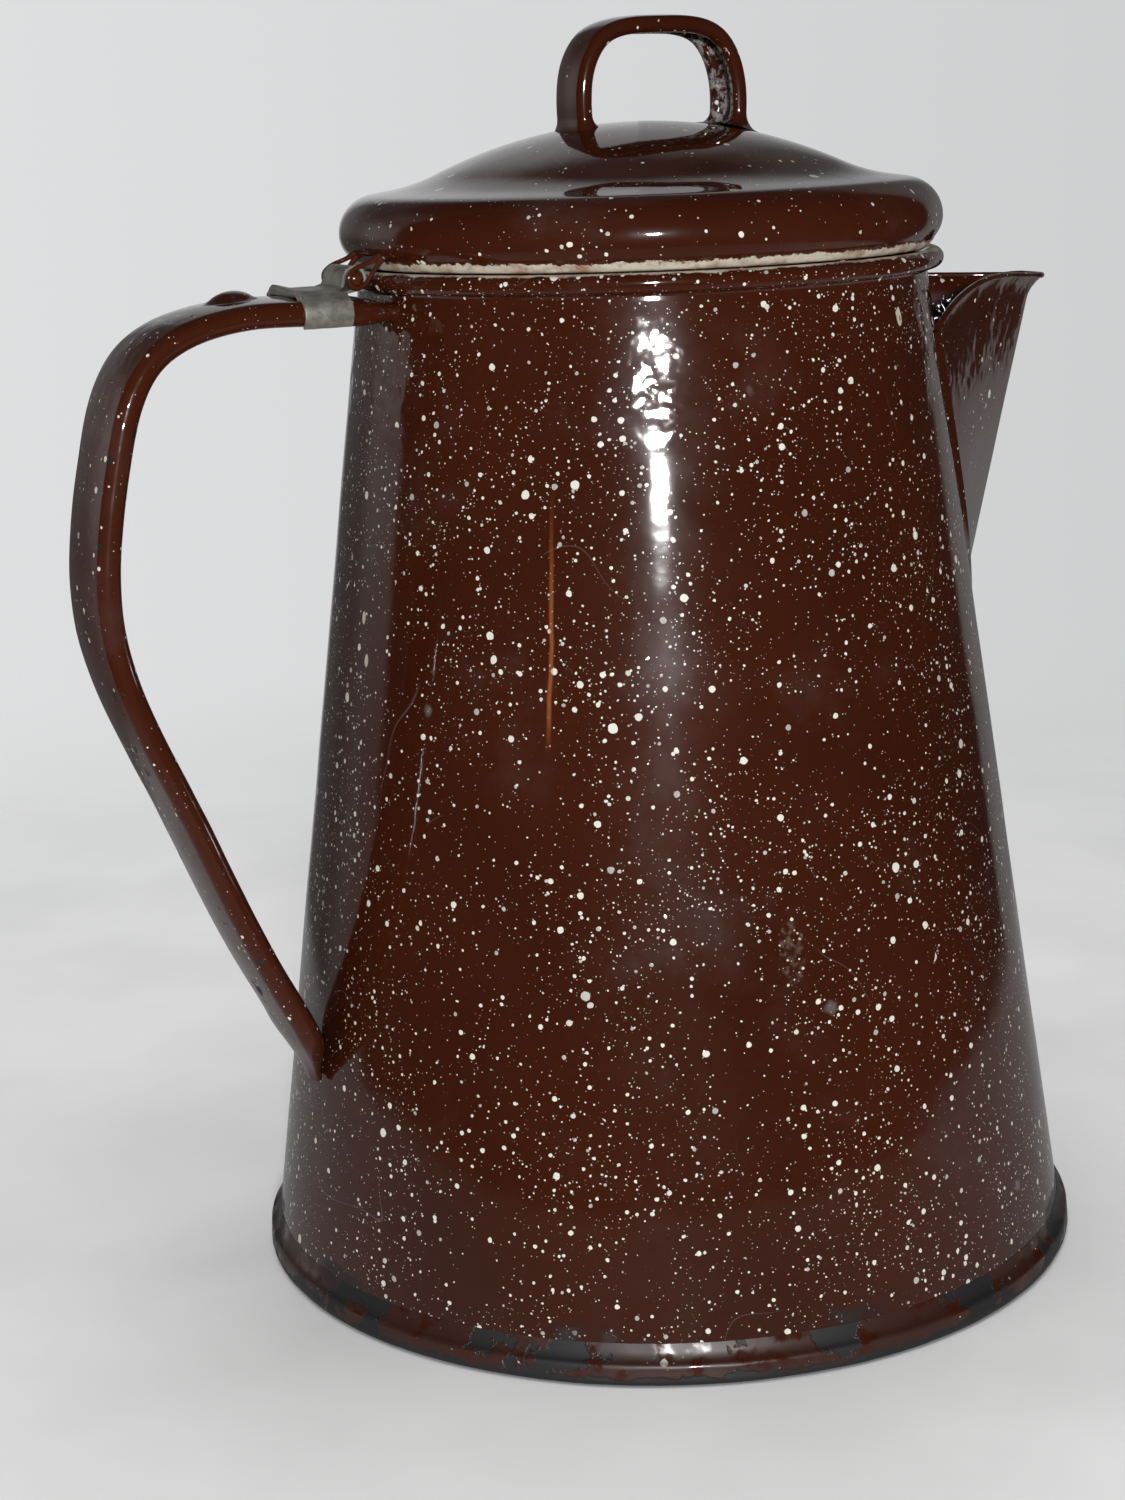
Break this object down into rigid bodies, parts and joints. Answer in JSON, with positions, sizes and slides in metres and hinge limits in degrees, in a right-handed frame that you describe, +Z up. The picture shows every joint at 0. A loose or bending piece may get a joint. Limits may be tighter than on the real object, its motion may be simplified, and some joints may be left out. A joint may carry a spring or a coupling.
{
  "type": "coffee percolator",
  "caption": "Enamelled steel camp coffee percolator with hinged lid, loop, V spout, strap handle, pump stem, basket and spreader.",
  "frame": {"origin": "centre of the flat underside, on the table", "axes": "+Z up, spout towards +X, handle towards -X, lid hinge along Y"},
  "size_m": [0.2163, 0.1718, 0.2512],
  "materials": {
    "enamel_brown": "glossy vitreous enamel with cream speckles on steel sheet",
    "tin_plate": "dull stained tin plate",
    "aluminium": "satin spun aluminium"
  },
  "bodies": {
    "pot": {"pot_wall": "enamel_brown", "base_pan": "enamel_brown", "spout": "enamel_brown", "handle": "enamel_brown", "hinge_clip": "tin_plate"},
    "lid": {"lid_shell": "enamel_brown", "lid_loop": "enamel_brown", "hinge_wire": "enamel_brown"},
    "stem": {"pump_tube": "aluminium", "pump_bell": "aluminium", "basket_stop": "aluminium"},
    "basket": {"basket_cup": "aluminium", "basket_sleeve": "aluminium"},
    "spreader": {"basket_cover": "aluminium"}
  },
  "joints": [
    {"name": "lid_hinge", "type": "hinge", "parent": "pot", "child": "lid", "pos_m": [-0.0639, 0, 0.2042], "axis": [0, -1, 0], "range_deg": [0, 105]},
    {"name": "stem_lift", "type": "slide", "parent": "pot", "child": "stem", "axis": [0, 0, 1], "range_m": [0, 0.028]},
    {"name": "basket_lift", "type": "slide", "parent": "stem", "child": "basket", "axis": [0, 0, 1], "range_m": [0, 0.014]},
    {"name": "spreader_lift", "type": "slide", "parent": "basket", "child": "spreader", "axis": [0, 0, 1], "range_m": [0, 0.01]}
  ]
}
